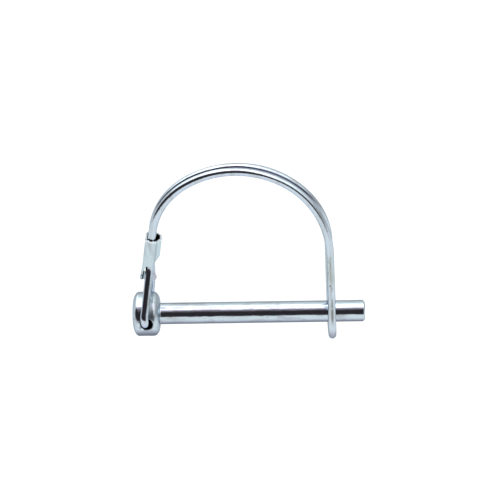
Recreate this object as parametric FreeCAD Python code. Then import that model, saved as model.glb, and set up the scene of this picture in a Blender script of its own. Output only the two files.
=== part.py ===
"""Hitch pin lock: a headed shank, a spring-wire bow and the clip that holds the bow's two strands together.

Frame, in mm: the origin is on the shank's axis in the plane of the head's underside. +X runs along the
shank to its tip, +Z points to the top of the bow and +Y points to the rear strand.
"""
import FreeCAD, Part
import math, os

V = FreeCAD.Vector

# shank and head
SHANK_D = 6.35
GRIP_LEN = 60.3
TIP_CHAMFER_LEN = 0.45
TIP_CHAMFER_DEPTH = 0.6
FILLET_R = 0.25
HEAD_R = 6.55
HEAD_LEN = 8.0
DOME_LEN = 1.85
DOME_DEPTH = 3.8
SHOULDER_LEN = 1.9
SHOULDER_DEPTH = 3.0

# cross hole through the head, which the bow swings on
HOLE_R = 1.7
HOLE_X = -3.37
HOLE_Z = 0.25
HOLE_SKEW = 4.0
HOLE_BREAK = 0.35

# bow: one spring wire, bent double
WIRE_D = 2.3
FOOT_X = 50.6
FOOT_Z = -2.4
LEG_LEAN = 2.45
LEG_LEN = 24.2
ARCH_R = 26.65
ARCH_TURN = 121.0
SHOULDER_R = 21.0
SHOULDER_TURN = 50.5
LOOP_HALF = 5.0
APEX_HALF = 1.65
CLIP_HALF = 1.3
FLARE_LEN = 52.0
CLOSE_LEN = 22.0

# lower strands, from the clip to the cross hole
SPLAY_HALF = 7.65
SPLAY_EASE = 0.25
MOUTH_SHIFT = 0.36
REAR_CURVE = 2.2
END_BEND_R = 2.0
END_BEND_SHIFT = 0.13
END_LEFT = 0.25
END_RAISE = 0.3
END_DROP = 2.7
END_GAP = 0.9
SWEEP_PIECES = 72

# clip: a sheet sleeve with a tab that passes between the two strands
CLIP_LEAN = 8.3
CLIP_X = -2.1
CLIP_Z = 18.0
CLIP_LEN = 8.2
SHEET = 0.5
CLIP_LEFT = 2.2
CURL_R = 1.1
CURL_V = -0.8
TAB_TOP = -3.8
TAB_FOOT = -6.15
TAB_TIP = 2.55
TAB_ROUND = 0.95
TONGUE_TURN = 4.0


def ellipse_corner(centre, along, across, start, end):
    """A quarter ellipse in the XZ plane with half axes along (X) and across (Z), between two angles."""
    ellipse = Part.Ellipse(V(0, 0, 0), max(along, across), min(along, across))
    turn = 0.0 if along >= across else -math.pi / 2
    edge = Part.ArcOfEllipse(ellipse, start + turn, end + turn).toShape()
    edge.rotate(V(0, 0, 0), V(0, 0, 1), -math.degrees(turn))
    edge.rotate(V(0, 0, 0), V(1, 0, 0), 90)
    edge.translate(centre)
    return edge


def line(a, b):
    return Part.makeLine(a, b)


def pin_blank():
    """Shank and head turned as one profile about X."""
    r = SHANK_D / 2
    dome_x, shoulder_x = -HEAD_LEN + DOME_LEN, -SHOULDER_LEN
    edges = [
        line(V(-HEAD_LEN, 0, 0), V(-HEAD_LEN, 0, HEAD_R - DOME_DEPTH)),
        ellipse_corner(V(dome_x, 0, HEAD_R - DOME_DEPTH), DOME_LEN, DOME_DEPTH, math.pi / 2, math.pi),
        line(V(dome_x, 0, HEAD_R), V(shoulder_x, 0, HEAD_R)),
        ellipse_corner(V(shoulder_x, 0, HEAD_R - SHOULDER_DEPTH), SHOULDER_LEN, SHOULDER_DEPTH,
                       0, math.pi / 2),
        line(V(0, 0, HEAD_R - SHOULDER_DEPTH), V(0, 0, r + FILLET_R)),
        Part.Arc(
            V(0, 0, r + FILLET_R),
            V(FILLET_R * (1 - math.sqrt(0.5)), 0, r + FILLET_R * (1 - math.sqrt(0.5))),
            V(FILLET_R, 0, r),
        ).toShape(),
        line(V(FILLET_R, 0, r), V(GRIP_LEN - TIP_CHAMFER_LEN, 0, r)),
        line(V(GRIP_LEN - TIP_CHAMFER_LEN, 0, r), V(GRIP_LEN, 0, r - TIP_CHAMFER_DEPTH)),
        line(V(GRIP_LEN, 0, r - TIP_CHAMFER_DEPTH), V(GRIP_LEN, 0, 0)),
        line(V(GRIP_LEN, 0, 0), V(-HEAD_LEN, 0, 0)),
    ]
    profile = Part.Face(Part.Wire(Part.__sortEdges__(edges)))
    return profile.revolve(V(0, 0, 0), V(1, 0, 0), 360)


def hole_direction():
    return V(math.sin(math.radians(HOLE_SKEW)), math.cos(math.radians(HOLE_SKEW)), 0)


def cross_hole():
    """The drilled hole with its broken edges, as the volume it takes out of the head."""
    d, middle = hole_direction(), V(HOLE_X, 0, HOLE_Z)
    start = middle - d * (HEAD_R + 2)
    hole = Part.makeCylinder(HOLE_R, 2 * HEAD_R + 4, start, d)
    for side in (-1, 1):
        mouth = middle + d * side * (HEAD_R - 0.55)
        hole = hole.fuse(Part.makeCone(HOLE_R, HOLE_R + 2 * HOLE_BREAK, 2 * HOLE_BREAK, mouth, d * side))
    return hole


def pin():
    return pin_blank().cut(cross_hole())


def smooth(t):
    t = min(1.0, max(0.0, t))
    return t * t * (3 - 2 * t)


def turn_arc(points, position, heading, radius, turn, steps):
    """Adds an arc that turns left by turn degrees, and returns the new position and heading."""
    step = math.radians(turn) / steps
    for _ in range(steps):
        middle = heading + step / 2
        chord = 2 * radius * math.sin(step / 2)
        position = position + V(math.cos(middle), 0, math.sin(middle)) * chord
        heading += step
        points.append(position)
    return position, heading


def arch_line():
    """The bow's middle line in the XZ plane, from the loop's foot over the top to the clip's mouth."""
    heading = math.radians(90 + LEG_LEAN)
    position = V(FOOT_X, 0, FOOT_Z)
    points = [position]
    for _ in range(8):
        position = position + V(math.cos(heading), 0, math.sin(heading)) * (LEG_LEN / 8)
        points.append(position)
    position, heading = turn_arc(points, position, heading, ARCH_R, ARCH_TURN, 24)
    turn_arc(points, position, heading, SHOULDER_R, SHOULDER_TURN, 11)
    return points


def half_gap(run):
    """Half the distance between the strands' middle lines at a run along the arch line."""
    if run < FLARE_LEN:
        return LOOP_HALF + (APEX_HALF - LOOP_HALF) * smooth(run / FLARE_LEN)
    past_apex = (run - FLARE_LEN) / CLOSE_LEN
    return APEX_HALF + (CLIP_HALF - APEX_HALF) * smooth(past_apex)


def loop_half():
    """The front quarter of the closed loop under the shank, from its lowest point up to the leg's foot."""
    down = V(math.sin(math.radians(LEG_LEAN)), 0, -math.cos(math.radians(LEG_LEAN)))
    foot = V(FOOT_X, 0, FOOT_Z)
    return [
        foot + V(0, -LOOP_HALF * math.sin(a), 0) + down * (LOOP_HALF * math.cos(a))
        for a in (math.radians(90.0 * i / 7) for i in range(7))
    ]


def clip_point(u, v, w):
    """Clip coordinates to the frame: u across the bow's plane strands, v towards the rear strand, w up."""
    lean = math.radians(CLIP_LEAN)
    across, up = V(math.cos(lean), 0, -math.sin(lean)), V(math.sin(lean), 0, math.cos(lean))
    return V(CLIP_X, 0, CLIP_Z) + across * u + V(0, v, 0) + up * w


def end_x(y):
    """The X of the wire's straight ends, which share one line through the cross hole."""
    return HOLE_X - END_LEFT + y * math.tan(math.radians(HOLE_SKEW))


def lower_strand(side):
    """A strand from inside the clip down beside the head and into the cross hole; side is -1 in front."""
    points = [clip_point(-MOUTH_SHIFT * w / CLIP_LEN, side * CLIP_HALF, w) for w in (7.0, 5.0, 3.0, 1.2)]
    top = clip_point(0, side * CLIP_HALF, 0.0)
    end_z = HOLE_Z + END_RAISE
    last_rate = (1 + SPLAY_EASE * 2) / (1 + SPLAY_EASE)
    slope = math.atan(last_rate * (SPLAY_HALF - CLIP_HALF) / (top.z - end_z - END_DROP))
    bend_y = SPLAY_HALF - END_BEND_R * math.cos(slope)
    foot_x = end_x(side * bend_y) + side * END_BEND_SHIFT
    foot_z = end_z + END_BEND_R * (1 + math.sin(slope))
    for i in range(1, 9):
        t = i / 8.0
        spread = t * t * (1 + SPLAY_EASE) / (t + SPLAY_EASE)
        across = t if side < 0 else t ** REAR_CURVE
        y = CLIP_HALF + (SPLAY_HALF - CLIP_HALF) * spread
        points.append(V(top.x + (foot_x - top.x) * across, side * y, top.z + (foot_z - top.z) * t))
    for i in range(1, 7):
        angle = -slope + (math.pi / 2 + slope) * i / 6.0
        y = bend_y + END_BEND_R * math.cos(angle)
        x = foot_x - side * END_BEND_SHIFT * i / 6.0
        points.append(V(x, side * y, end_z + END_BEND_R * (1 - math.sin(angle))))
    for y in (4.7, 3.4, 2.1, END_GAP):
        points.append(V(end_x(side * y), side * y, end_z))
    return points


def strand(side):
    """Half of the wire's middle line, from the loop's lowest point to its end in the head."""
    spine = arch_line()
    run, points = 0.0, [V(p.x, -side * p.y, p.z) for p in loop_half()]
    for i, p in enumerate(spine):
        run += (p - spine[i - 1]).Length if i else 0.0
        points.append(V(p.x, side * half_gap(run), p.z))
    return points + lower_strand(side)


def bow_wire():
    """A round section swept along the whole middle line in short pieces that meet smoothly."""
    points = list(reversed(strand(-1))) + strand(1)[1:]
    curve = Part.BSplineCurve()
    curve.interpolate(points)
    last = len(points) - 1
    cuts = [curve.parameter(points[round(last * k / SWEEP_PIECES)]) for k in range(SWEEP_PIECES + 1)]
    spine = Part.Wire([curve.toShape(a, b) for a, b in zip(cuts, cuts[1:])])
    start = curve.FirstParameter
    section = Part.Wire(Part.makeCircle(WIRE_D / 2, curve.value(start), curve.tangent(start)[0]))
    return spine.makePipeShell([section], True, False)


def clip_outline():
    """The sleeve's outer section in clip coordinates, flattened in front and behind."""
    front = [(-CLIP_LEFT, -2.5), (-0.45, -3.2), (1.3, -2.85), (2.5, -0.9)]
    rear = [(2.4, 1.5), (0.5, 3.15), (-1.3, 3.05), (-CLIP_LEFT, 1.5)]
    return front + rear


def clip_prism(wire_points, foot, top):
    base = [clip_point(u, v, foot) for u, v in wire_points]
    face = Part.Face(Part.makePolygon(base + [base[0]]))
    return face.extrude(clip_point(0, 0, top) - clip_point(0, 0, foot))


def inset(points, distance):
    """A convex outline moved inwards by a distance."""
    count, result = len(points), []
    for i in range(count):
        (ax, ay), (bx, by), (cx, cy) = points[i - 1], points[i], points[(i + 1) % count]
        n1, n2 = normal(ax, ay, bx, by), normal(bx, by, cx, cy)
        k = distance / (1 + n1[0] * n2[0] + n1[1] * n2[1])
        result.append((bx - (n1[0] + n2[0]) * k, by - (n1[1] + n2[1]) * k))
    return result


def normal(ax, ay, bx, by):
    length = math.hypot(bx - ax, by - ay)
    return (by - ay) / length, -(bx - ax) / length


def upright_edges(shape, length):
    """The edges that run along the clip's axis for at least a length."""
    up = (clip_point(0, 0, 1) - clip_point(0, 0, 0)).normalize()
    found = []
    for edge in shape.Edges:
        if isinstance(edge.Curve, Part.Line) and edge.Length > length:
            if abs(edge.tangentAt(edge.FirstParameter).dot(up)) > 0.999:
                found.append(edge)
    return found


def slab(points, plane):
    """A flat outline drawn in two of the clip's coordinates and taken through the third."""
    low, high = [], []
    for a, b in points:
        for side, depth in ((low, plane[1]), (high, plane[2])):
            side.append(clip_point(a, depth, b) if plane[0] == "v" else clip_point(depth, a, b))
    face = Part.Face(Part.makePolygon(low + [low[0]]))
    return face.extrude(high[0] - low[0])


def sleeve():
    """The folded tube. Its lower edge rises to the right and runs down to a point on the left in front."""
    foot = -3.2
    outer = clip_prism(clip_outline(), foot, CLIP_LEN)
    outer = outer.makeFillet(0.4, upright_edges(outer, 5))
    inner = clip_prism(inset(clip_outline(), SHEET), foot - 1, CLIP_LEN + 1)
    inner = inner.makeFillet(0.2, upright_edges(inner, 5))
    lower_edge = [(4, -5), (4, 3.8), (2.5, 2.6), (1.2, 1.3), (0.2, 0.0), (-1.0, -0.2),
                  (-2.05, -2.9), (-2.3, -5)]
    rear_edge = [(-0.9, -5), (-0.6, -2.5), (0.4, 0.3), (5, 0.3), (5, -5)]
    return outer.cut(inner).cut(slab(lower_edge, ("v", -5, 5))).cut(slab(rear_edge, ("u", -5, 5)))


def strip_section(w):
    """The tongue's section at a height: the left wall, a rolled corner and the tab between the strands."""
    inner_r, centre_u = CURL_R - SHEET, CURL_R - CLIP_LEFT
    corner = math.sqrt(0.5)

    def at(u, v):
        return clip_point(u, v, w)

    outer_arc = Part.Arc(at(-CLIP_LEFT, CURL_V), at(centre_u - CURL_R * corner, CURL_V + CURL_R * corner),
                         at(centre_u, CURL_V + CURL_R))
    inner_arc = Part.Arc(at(centre_u, CURL_V + inner_r),
                         at(centre_u - inner_r * corner, CURL_V + inner_r * corner),
                         at(SHEET - CLIP_LEFT, CURL_V))
    front, tip = -2.2, TAB_TIP + 0.5
    edges = [
        line(at(-CLIP_LEFT, front), at(-CLIP_LEFT, CURL_V)),
        outer_arc.toShape(),
        line(at(centre_u, CURL_V + CURL_R), at(tip, CURL_V + CURL_R)),
        line(at(tip, CURL_V + CURL_R), at(tip, CURL_V + inner_r)),
        line(at(tip, CURL_V + inner_r), at(centre_u, CURL_V + inner_r)),
        inner_arc.toShape(),
        line(at(SHEET - CLIP_LEFT, CURL_V), at(SHEET - CLIP_LEFT, front)),
        line(at(SHEET - CLIP_LEFT, front), at(-CLIP_LEFT, front)),
    ]
    return Part.Face(Part.Wire(edges))


def tab_outline():
    """The tongue and tab seen from the front: straight edges and a rounded end."""
    def at(u, w):
        return clip_point(u, -5, w)

    middle, shoulder = (TAB_TOP + TAB_FOOT) / 2, TAB_TIP - TAB_ROUND
    corners = [(shoulder, TAB_FOOT), (-1.6, TAB_FOOT), (-2.4, TAB_FOOT + 0.6), (-2.4, 0.6), (-1.5, 0.6),
               (-1.5, -3.2), (-1.1, TAB_TOP), (shoulder, TAB_TOP)]
    points = [at(u, w) for u, w in corners]
    edges = [line(a, b) for a, b in zip(points, points[1:])]
    edges.append(Part.Arc(points[-1], at(TAB_TIP, middle), points[0]).toShape())
    return Part.Face(Part.Wire(edges)).extrude(V(0, 10, 0))


def tongue():
    """One strip: down from the sleeve's left wall, rolled in, and out between the strands as a tab."""
    low, high = -7.0, 0.5
    strip = strip_section(low).extrude(clip_point(0, 0, high) - clip_point(0, 0, low))
    side_edge = [(-2.6, 0.6), (-2.6, -2.7), (-1.9, -4.1), (-0.9, -5.6), (-0.4, -6.6), (0.6, -6.6), (0.6, 0.6)]
    strip = strip.common(tab_outline()).common(slab(side_edge, ("u", -5, 5)))
    strip.rotate(clip_point(-CLIP_LEFT, 0, -1.5), V(0, 1, 0), TONGUE_TURN)
    return strip


def clip():
    shape = sleeve().fuse(tongue())
    return shape.removeSplitter()


os.makedirs("parts", exist_ok=True)
for name, shape in (("pin", pin()), ("bow_wire", bow_wire()), ("clip", clip())):
    if shape.ShapeType != "Solid" and len(shape.Solids) == 1:
        shape = shape.Solids[0]
    print(name, shape.ShapeType, shape.isValid(), round(shape.Volume, 2), shape.BoundBox)
    shape.exportStep("parts/" + name + ".step")
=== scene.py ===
import bpy
import math
from mathutils import Matrix, Vector


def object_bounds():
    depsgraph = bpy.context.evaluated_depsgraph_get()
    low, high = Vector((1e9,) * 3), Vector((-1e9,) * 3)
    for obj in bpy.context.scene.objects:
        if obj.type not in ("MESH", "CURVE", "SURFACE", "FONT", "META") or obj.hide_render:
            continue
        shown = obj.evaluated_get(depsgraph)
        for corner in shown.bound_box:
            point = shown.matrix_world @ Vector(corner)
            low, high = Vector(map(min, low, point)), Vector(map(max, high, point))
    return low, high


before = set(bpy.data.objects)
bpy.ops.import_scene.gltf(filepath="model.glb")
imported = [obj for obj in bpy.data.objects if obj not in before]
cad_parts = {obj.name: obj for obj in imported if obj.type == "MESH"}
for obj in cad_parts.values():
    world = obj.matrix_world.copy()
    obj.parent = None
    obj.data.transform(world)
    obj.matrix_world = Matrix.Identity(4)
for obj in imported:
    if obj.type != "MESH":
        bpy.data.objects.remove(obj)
cad_low, cad_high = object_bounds()

CAMERA_AIM = Vector((0.02632, 0.0, 0.02173))
CAMERA_DISTANCE = 0.42765
CAMERA_ELEVATION = 30.0
CAMERA_ROLL = 0.84
CAMERA_LENS = 107.57

# the light of the walls and of the dark opening: (elevation in degrees, radiance)
WALL_RIGHT = [(-20, 1.0), (-8, 0.9), (4, 0.46), (12, 0.52), (26, 1.05), (42, 1.7), (80, 2.6)]
WALL_LEFT = [(-20, 0.98), (-8, 0.85), (4, 0.62), (14, 0.8), (28, 1.4), (44, 1.75), (80, 2.6)]
WALL_BACK = [(-20, 0.98), (-8, 0.7), (8, 0.6), (24, 0.72), (46, 0.9), (62, 1.15), (75, 2.6)]
OPENING = [(-14, 0.4), (-6, 0.045), (16, 0.028), (38, 0.032), (50, 0.15), (58, 0.38), (67, 0.95), (77, 2.6)]

# the opening's shape in degrees: an ellipse on the left, and an edge that moves with elevation on the right
OPENING_FOOT = (-13.0, -4.0)
OPENING_MIDDLE = -20.0
OPENING_LEFT = 72.0
OPENING_TOP = 62.0
OPENING_RIGHT = [(-6, 48.0), (4, 45.0), (16, 38.0), (30, 24.0), (60, 15.0)]
OPENING_RIGHT_SOFT = (-5.0, 6.0)
OPENING_COLOUR = (1.12, 0.97, 1.12, 1)

# in parts of the ellipse's radius: where its edge is soft, and where its round side begins
OPENING_SOFT = (0.86, 1.2)
OPENING_ROUND_SIDE = (0.05, 0.35)

# the azimuths in degrees between which the left and right walls meet in front, and the back wall begins
WALLS_MEET = (-60.0, -30.0)
BACK_RIGHT = (80.0, 120.0)
BACK_LEFT = (-178.0, -158.0)

# the floor is just below the bow at the end of its swing; its own glow keeps it white under the dark opening
FLOOR_GAP = 0.002
FLOOR_HALF = 1.5
FLOOR_GLOW = 0.82
FLOOR_MATT = 0.22

# the tint of the lower and the upper light, and the elevations between which it changes
LOW_TINT, HIGH_TINT, TINT_CHANGE = (0.94, 0.96, 1.06, 1), (0.97, 1.0, 1.0, 1), (-75.0, -35.0)
WHITE = (1.0, 1.0, 1.0, 1)

# the head's cross hole and the clip's own axes, in metres and degrees
HOLE_X, HOLE_Z, HOLE_R, HOLE_SKEW = -0.00337, 0.00025, 0.0017, 4.0
CLIP_X, CLIP_Z, CLIP_LEAN, CLIP_LEN = -0.0021, 0.018, 8.3, 0.0082

# the dull half of the head along X, its soft ends, and what it adds to the roughness
DULL_HALF, DULL_HALF_SOFT, HEAD_DULL = (-0.0030, 0.0004), 0.0006, 0.18

# where the leg begins along X, and where the arch begins and the loop's bottom ends along Z
LEG_FROM, ARCH_FROM, LOOP_BELOW = (0.044, 0.048), (0.029, 0.040), (-0.0055, -0.002)

# scales of the plate's noise, and the tint of its reflections at the edges
CLOUD_SCALE, SPECK_SCALE, WAVE_SCALE = 520.0, 1700.0, 420.0
EDGE_TINT = (0.5, 0.55, 0.62, 1)

# colours of the leg's rubbing, dark patches and pits, of painted shade and painted highlight, and of the
# darker loop bottom
# painted shade under the pin, where it faces down
PAINTED_UNDERSIDE_SHADE = (0.24, 0.25, 0.27, 1)
# painted shade inside the cross hole
PAINTED_HOLE_SHADE = (0.01, 0.012, 0.015, 1)
RUBBED = (0.34, 0.355, 0.34, 1)
CONTACT = (0.22, 0.22, 0.21, 1)
PITTED = (0.20, 0.21, 0.20, 1)
# painted shade between the arch's two strands
PAINTED_SHADE_BETWEEN_STRANDS = (0.27, 0.28, 0.38, 1)
# the leg is darker at its lowest part
LOOP_BOTTOM = (0.42, 0.44, 0.47, 1)
# painted shade along the clip's fold
CLIP_FOLD_PAINTED_SHADE = (0.42, 0.50, 0.55, 1)
# painted light on the clip's right side
CLIP_SIDE_PAINTED_LIGHT = (0.66, 0.77, 0.82, 1)
# painted highlight on the clip's rim
CLIP_RIM_PAINTED_HIGHLIGHT = (0.92, 0.96, 0.98, 1)
# painted shade on the clip's tab
CLIP_TAB_PAINTED_SHADE = (0.50, 0.52, 0.60, 1)
# painted shade on the tip of the clip's tab
CLIP_TIP_PAINTED_SHADE = (0.20, 0.20, 0.24, 1)
# painted shade inside the clip
CLIP_INSIDE_PAINTED_SHADE = (0.05, 0.07, 0.07, 1)


def socket(node, name, value):
    node.inputs[name].default_value = value


def add(tree, kind, **values):
    node = tree.nodes.new(kind)
    for key, value in values.items():
        setattr(node, key, value)
    return node


def math_node(tree, operation, a, b=None):
    node = add(tree, "ShaderNodeMath", operation=operation)
    for i, value in enumerate((a, b)):
        if value is None:
            continue
        if isinstance(value, (int, float)):
            node.inputs[i].default_value = value
        else:
            tree.links.new(value, node.inputs[i])
    return node.outputs[0]


def hypotenuse(tree, a, b):
    squares = [math_node(tree, "MULTIPLY", side, side) for side in (a, b)]
    return math_node(tree, "SQRT", math_node(tree, "ADD", *squares))


def step(tree, value, low, high, a=0.0, b=1.0):
    """A smooth change from a to b while the value goes from low to high."""
    node = add(tree, "ShaderNodeMapRange", interpolation_type="SMOOTHSTEP")
    tree.links.new(value, node.inputs["Value"])
    socket(node, "From Min", low)
    socket(node, "From Max", high)
    socket(node, "To Min", a)
    socket(node, "To Max", b)
    return node.outputs["Result"]


def mix_colour(tree, factor, a, b):
    node = add(tree, "ShaderNodeMix", data_type="RGBA")
    tree.links.new(factor, node.inputs["Factor"])
    for name, value in (("A", a), ("B", b)):
        target = [s for s in node.inputs if s.name == name and s.type == "RGBA"][0]
        if isinstance(value, tuple):
            target.default_value = value
        else:
            tree.links.new(value, target)
    return [s for s in node.outputs if s.type == "RGBA"][0]


def make_camera():
    elevation, roll = math.radians(CAMERA_ELEVATION), math.radians(CAMERA_ROLL)
    forward = Vector((0, math.cos(elevation), -math.sin(elevation)))
    up_level = Vector((0, math.sin(elevation), math.cos(elevation)))
    side = Vector((1, 0, 0)) * math.cos(roll) - up_level * math.sin(roll)
    up = Vector((1, 0, 0)) * math.sin(roll) + up_level * math.cos(roll)
    data = bpy.data.cameras.new("camera")
    data.sensor_width = 36.0
    data.lens = CAMERA_LENS
    data.clip_start, data.clip_end = 0.01, 20.0
    camera = bpy.data.objects.new("camera", data)
    bpy.context.scene.collection.objects.link(camera)
    turn = Matrix((side, up, -forward)).transposed().to_4x4()
    camera.matrix_world = Matrix.Translation(CAMERA_AIM - forward * CAMERA_DISTANCE) @ turn
    bpy.context.scene.camera = camera


def ramp(tree, value, stops):
    """A smooth curve through (position, level) stops, as a sum of steps."""
    total = None
    for (low, a), (high, b) in zip(stops, stops[1:]):
        rise = step(tree, value, low, high, 0.0, b - a)
        total = rise if total is None else math_node(tree, "ADD", total, rise)
    return math_node(tree, "ADD", total, stops[0][1])


def blend(tree, factor, a, b):
    """A number that goes from a to b with the factor."""
    node = add(tree, "ShaderNodeMix", data_type="FLOAT")
    for name, value in (("Factor", factor), ("A", a), ("B", b)):
        tree.links.new(value, [s for s in node.inputs if s.name == name and s.type == "VALUE"][0])
    return [s for s in node.outputs if s.type == "VALUE"][0]


def make_world():
    """A white studio with one tall dark opening in front, left of centre, and a bright ceiling."""
    world = bpy.data.worlds.new("studio")
    bpy.context.scene.world = world
    world.use_nodes = True
    tree = world.node_tree
    tree.nodes.clear()
    coords = add(tree, "ShaderNodeTexCoord")
    parts = add(tree, "ShaderNodeSeparateXYZ")
    tree.links.new(coords.outputs["Generated"], parts.inputs[0])
    x, y, z = parts.outputs
    degree = 180.0 / math.pi
    height = math_node(tree, "MULTIPLY", math_node(tree, "ARCSINE", z), degree)
    front = math_node(tree, "MULTIPLY", y, -1.0)
    around = math_node(tree, "MULTIPLY", math_node(tree, "ARCTAN2", x, front), degree)

    to_left = math_node(tree, "MAXIMUM", math_node(tree, "SUBTRACT", OPENING_MIDDLE, around), 0.0)
    across = math_node(tree, "DIVIDE", to_left, OPENING_LEFT)
    up = math_node(tree, "DIVIDE", height, OPENING_TOP)
    radius = hypotenuse(tree, across, up)
    round_side = step(tree, across, *OPENING_ROUND_SIDE)
    inside_left = step(tree, radius, *OPENING_SOFT, 1.0, 0.0)
    inside_left = math_node(tree, "MAXIMUM", inside_left, math_node(tree, "SUBTRACT", 1.0, round_side))
    past_edge = math_node(tree, "SUBTRACT", around, ramp(tree, height, OPENING_RIGHT))
    inside = math_node(tree, "MULTIPLY", inside_left, step(tree, past_edge, *OPENING_RIGHT_SOFT, 1.0, 0.0))
    inside = math_node(tree, "MULTIPLY", inside, step(tree, height, *OPENING_FOOT))
    level = blend(tree, step(tree, around, *WALLS_MEET), ramp(tree, height, WALL_LEFT),
                  ramp(tree, height, WALL_RIGHT))
    behind = math_node(tree, "ADD", step(tree, around, *BACK_RIGHT), step(tree, around, *BACK_LEFT, 1.0, 0.0))
    level = blend(tree, behind, level, ramp(tree, height, WALL_BACK))
    level = blend(tree, inside, level, ramp(tree, height, OPENING))
    background = add(tree, "ShaderNodeBackground")
    tint = mix_colour(tree, step(tree, height, *TINT_CHANGE), LOW_TINT, HIGH_TINT)
    tint = mix_colour(tree, inside, tint, OPENING_COLOUR)
    tree.links.new(tint, background.inputs["Color"])
    tree.links.new(level, background.inputs["Strength"])
    backdrop = add(tree, "ShaderNodeBackground")
    path = add(tree, "ShaderNodeLightPath")
    both = add(tree, "ShaderNodeMixShader")
    tree.links.new(path.outputs["Is Camera Ray"], both.inputs["Fac"])
    tree.links.new(background.outputs[0], both.inputs[1])
    tree.links.new(backdrop.outputs[0], both.inputs[2])
    socket(backdrop, "Color", WHITE)
    output = add(tree, "ShaderNodeOutputWorld")
    tree.links.new(both.outputs[0], output.inputs["Surface"])


def make_floor(height):
    mesh = bpy.data.meshes.new("floor")
    corners = [(x * FLOOR_HALF, y * FLOOR_HALF, height) for x, y in ((-1, -1), (1, -1), (1, 1), (-1, 1))]
    mesh.from_pydata(corners, [], [(0, 1, 2, 3)])
    floor = bpy.data.objects.new("floor", mesh)
    bpy.context.scene.collection.objects.link(floor)
    material = bpy.data.materials.new("floor")
    material.use_nodes = True
    tree = material.node_tree
    tree.nodes.clear()
    glow = add(tree, "ShaderNodeEmission")
    socket(glow, "Color", WHITE)
    socket(glow, "Strength", FLOOR_GLOW)
    matt = add(tree, "ShaderNodeBsdfDiffuse")
    socket(matt, "Color", (FLOOR_MATT, FLOOR_MATT, FLOOR_MATT, 1))
    both = add(tree, "ShaderNodeAddShader")
    tree.links.new(glow.outputs[0], both.inputs[0])
    tree.links.new(matt.outputs[0], both.inputs[1])
    output = add(tree, "ShaderNodeOutputMaterial")
    tree.links.new(both.outputs[0], output.inputs["Surface"])
    mesh.materials.append(material)
    floor.visible_glossy = False


def stretched(tree, coords, name, scale, stretch, detail=3.0, distortion=0.0):
    """Noise in the piece's own space, drawn out along an axis by a small stretch number there."""
    mapping = add(tree, "ShaderNodeMapping")
    socket(mapping, "Scale", stretch)
    tree.links.new(coords.outputs["Object"], mapping.inputs["Vector"])
    noise = add(tree, "ShaderNodeTexNoise", name=name)
    socket(noise, "Scale", scale)
    socket(noise, "Detail", detail)
    socket(noise, "Distortion", distortion)
    tree.links.new(mapping.outputs[0], noise.inputs["Vector"])
    return noise.outputs["Fac"]


def along(tree, vector, direction, origin):
    """How far a position lies from the origin in a direction."""
    node = add(tree, "ShaderNodeVectorMath", operation="DOT_PRODUCT")
    tree.links.new(vector, node.inputs[0])
    node.inputs[1].default_value = direction
    return math_node(tree, "SUBTRACT", node.outputs["Value"], direction.dot(origin))


def within(tree, value, low, high, soft):
    """1 between low and high, 0 outside, with soft ends."""
    return math_node(tree, "MULTIPLY", step(tree, value, low - soft, low + soft),
                     step(tree, value, high - soft, high + soft, 1.0, 0.0))


def product(tree, *values):
    total = values[0]
    for value in values[1:]:
        total = math_node(tree, "MULTIPLY", total, value)
    return total


def pin_painted_shade(tree, coords, shade):
    """Painted shade: the pin is darker underneath, and its cross hole is painted dark inside."""
    normal = add(tree, "ShaderNodeSeparateXYZ")
    tree.links.new(coords.outputs["Normal"], normal.inputs[0])
    # painted shade: darker where the surface faces down
    shade = mix_colour(tree, step(tree, normal.outputs[2], -0.6, -0.12), PAINTED_UNDERSIDE_SHADE, shade)
    middle = Vector((HOLE_X, 0.0, HOLE_Z))
    turn = math.radians(HOLE_SKEW)
    across = along(tree, coords.outputs["Object"], Vector((math.cos(turn), -math.sin(turn), 0.0)), middle)
    up = along(tree, coords.outputs["Object"], Vector((0.0, 0.0, 1.0)), middle)
    radius = hypotenuse(tree, across, up)
    # painted shade: the cross hole is near-black inside
    return mix_colour(tree, step(tree, radius, HOLE_R + 0.0001, HOLE_R + 0.0003), PAINTED_HOLE_SHADE, shade)


def head_dullness(tree, coords):
    """The half of the head next to the shank is duller than the rest."""
    place = add(tree, "ShaderNodeSeparateXYZ")
    tree.links.new(coords.outputs["Object"], place.inputs[0])
    return product(tree, within(tree, place.outputs[0], *DULL_HALF, DULL_HALF_SOFT), HEAD_DULL)


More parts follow.
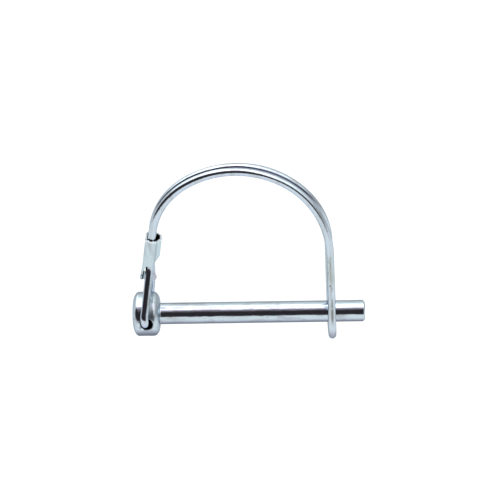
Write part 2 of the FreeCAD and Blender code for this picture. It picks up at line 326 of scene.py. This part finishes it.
def wire_wear_and_shade(tree, coords, shade):
    """The leg is pitted, and rubbed in front; painted shade darkens the strands where they face each other.
    """
    normal, place = add(tree, "ShaderNodeSeparateXYZ"), add(tree, "ShaderNodeSeparateXYZ")
    tree.links.new(coords.outputs["Normal"], normal.inputs[0])
    tree.links.new(coords.outputs["Object"], place.inputs[0])
    leg = step(tree, place.outputs[0], *LEG_FROM)
    front = step(tree, normal.outputs[1], -0.6, -0.4, 1.0, 0.0)
    streak = stretched(tree, coords, "streak", 1300.0, (1.0, 1.0, 0.13), 4.0, 0.8)
    height = within(tree, place.outputs[2], -0.002, 0.022, 0.004)
    middle = within(tree, normal.outputs[0], -0.22, 0.30, 0.16)
    rubbed = product(tree, leg, height, front, middle, step(tree, streak, 0.42, 0.60))
    shade = mix_colour(tree, rubbed, shade, RUBBED)
    contact = product(tree, leg, front, middle, within(tree, place.outputs[2], 0.0, 0.008, 0.0015))
    contact = product(tree, contact, step(tree, streak, 0.32, 0.5, 0.1, 0.9))
    shade = mix_colour(tree, contact, shade, CONTACT)
    speck = stretched(tree, coords, "pits", 1500.0, (1.0, 1.0, 0.7), 1.0)
    straight = step(tree, place.outputs[2], 0.02, 0.03, 1.0, 0.0)
    pits = product(tree, leg, step(tree, speck, 0.71, 0.76), straight)
    shade = mix_colour(tree, pits, shade, PITTED)
    # painted shade: the arch's strands are darker where they face each other
    arch = step(tree, place.outputs[2], *ARCH_FROM)
    outward = product(tree, normal.outputs[1], math_node(tree, "SIGN", place.outputs[1]))
    between = product(tree, arch, step(tree, outward, -0.84, -0.62, 1.0, 0.0))
    shade = mix_colour(tree, between, shade, PAINTED_SHADE_BETWEEN_STRANDS)
    # the leg is darker at its lowest part
    low = step(tree, place.outputs[2], *LOOP_BELOW, 1.0, 0.0)
    return mix_colour(tree, product(tree, leg, low), shade, LOOP_BOTTOM)


def clip_painted_light(tree, coords, shade):
    """Painted light on the clip: a painted highlight on the rim, a painted lighter side, and painted shade
    along the fold line, on the tab and inside.
    """
    lean = math.radians(CLIP_LEAN)
    middle = Vector((CLIP_X, 0.0, CLIP_Z))
    u_axis = Vector((math.cos(lean), 0.0, -math.sin(lean)))
    w_axis = Vector((math.sin(lean), 0.0, math.cos(lean)))
    u = along(tree, coords.outputs["Object"], u_axis, middle)
    v = along(tree, coords.outputs["Object"], Vector((0.0, 1.0, 0.0)), middle)
    w = along(tree, coords.outputs["Object"], w_axis, middle)
    front = step(tree, v, -0.0006, 0.0002, 1.0, 0.0)
    # painted shade along the fold line on the front
    fold = product(tree, within(tree, u, 0.00095, 0.0013, 0.0002), front)
    shade = mix_colour(tree, fold, shade, CLIP_FOLD_PAINTED_SHADE)
    # painted light: the right side of the front is lighter
    side = product(tree, step(tree, u, 0.0013, 0.0016), front)
    shade = mix_colour(tree, side, shade, CLIP_SIDE_PAINTED_LIGHT)
    # painted highlight: a white rim at the clip's top, broken up by noise
    rim_highlight_noise = stretched(tree, coords, "rim_highlight_noise", 1300.0, (1.0, 1.0, 1.0), 2.0)
    rim = product(tree, step(tree, w, CLIP_LEN - 0.0006, CLIP_LEN - 0.0002), step(tree, rim_highlight_noise, 0.38, 0.55))
    shade = mix_colour(tree, rim, shade, CLIP_RIM_PAINTED_HIGHLIGHT)
    # painted shade: the tab below the clip is darker
    tab = product(tree, step(tree, w, -0.0036, -0.0032, 1.0, 0.0), step(tree, u, 0.0, 0.0004))
    shade = mix_colour(tree, tab, shade, CLIP_TAB_PAINTED_SHADE)
    # painted shade: the tab's tip is darker still
    tip = product(tree, tab, step(tree, u, 0.0019, 0.0024))
    shade = mix_colour(tree, tip, shade, CLIP_TIP_PAINTED_SHADE)
    # painted shade: faces that look inward into the clip are near-black
    nu = along(tree, coords.outputs["Normal"], u_axis, Vector((0.0, 0.0, 0.0)))
    nv = along(tree, coords.outputs["Normal"], Vector((0.0, 1.0, 0.0)), Vector((0.0, 0.0, 0.0)))
    outward = math_node(tree, "ADD", product(tree, u, nu), product(tree, v, nv))
    return mix_colour(tree, step(tree, outward, -0.0003, 0.0), CLIP_INSIDE_PAINTED_SHADE, shade)


def zinc(name, colour, dull, roughness, stretch, relief, wear_and_painted_light, extra=None):
    """Bright zinc plate: a cold blue-grey metal with drawn-out clouding, specks and an uneven skin."""
    material = bpy.data.materials.new(name)
    material.use_nodes = True
    tree = material.node_tree
    shader = tree.nodes["Principled BSDF"]
    socket(shader, "Metallic", 1.0)
    socket(shader, "Specular Tint", EDGE_TINT)
    coords = add(tree, "ShaderNodeTexCoord")
    cloud = stretched(tree, coords, "cloud", CLOUD_SCALE, stretch, 5.0, 0.3)
    speck = stretched(tree, coords, "speck", SPECK_SCALE, stretch, 2.0)
    clean = product(tree, step(tree, cloud, 0.32, 0.56), step(tree, speck, 0.24, 0.38))
    shade = mix_colour(tree, clean, dull + (1,), colour + (1,))
    # this adds the rubbing, pits, painted shade and painted highlight of each piece to the base colour
    tree.links.new(wear_and_painted_light(tree, coords, shade), shader.inputs["Base Color"])
    skin = step(tree, cloud, 0.3, 0.7, roughness * 1.5, roughness * 0.7)
    if extra:
        skin = math_node(tree, "ADD", skin, extra(tree, coords))
    tree.links.new(skin, shader.inputs["Roughness"])
    wave = stretched(tree, coords, "wave", WAVE_SCALE, stretch, 2.0)
    height = math_node(tree, "ADD", wave, math_node(tree, "MULTIPLY", speck, 0.12))
    bump = add(tree, "ShaderNodeBump")
    socket(bump, "Strength", 1.0)
    socket(bump, "Distance", relief)
    tree.links.new(height, bump.inputs["Height"])
    tree.links.new(bump.outputs["Normal"], shader.inputs["Normal"])
    return material


make_camera()
make_world()
make_floor(-cad_high.z - FLOOR_GAP)

lengthwise, upright = (0.4, 1.0, 1.0), (1.0, 1.0, 0.25)
finishes = {
    "pin": zinc("zinc_pin", (0.61, 0.70, 0.76), (0.47, 0.505, 0.55), 0.12, lengthwise, 0.00007, pin_painted_shade,
                head_dullness),
    "bow_wire": zinc("zinc_wire", (0.62, 0.70, 0.785), (0.52, 0.57, 0.59), 0.10, upright, 0.00003, wire_wear_and_shade),
    "clip": zinc("zinc_clip", (0.60, 0.70, 0.755), (0.50, 0.57, 0.60), 0.18, upright, 0.00003, clip_painted_light),
}
for node, material in finishes.items():
    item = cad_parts[node]
    item.data.materials.clear()
    item.data.materials.append(material)

bpy.context.scene.view_settings.view_transform = "Standard"
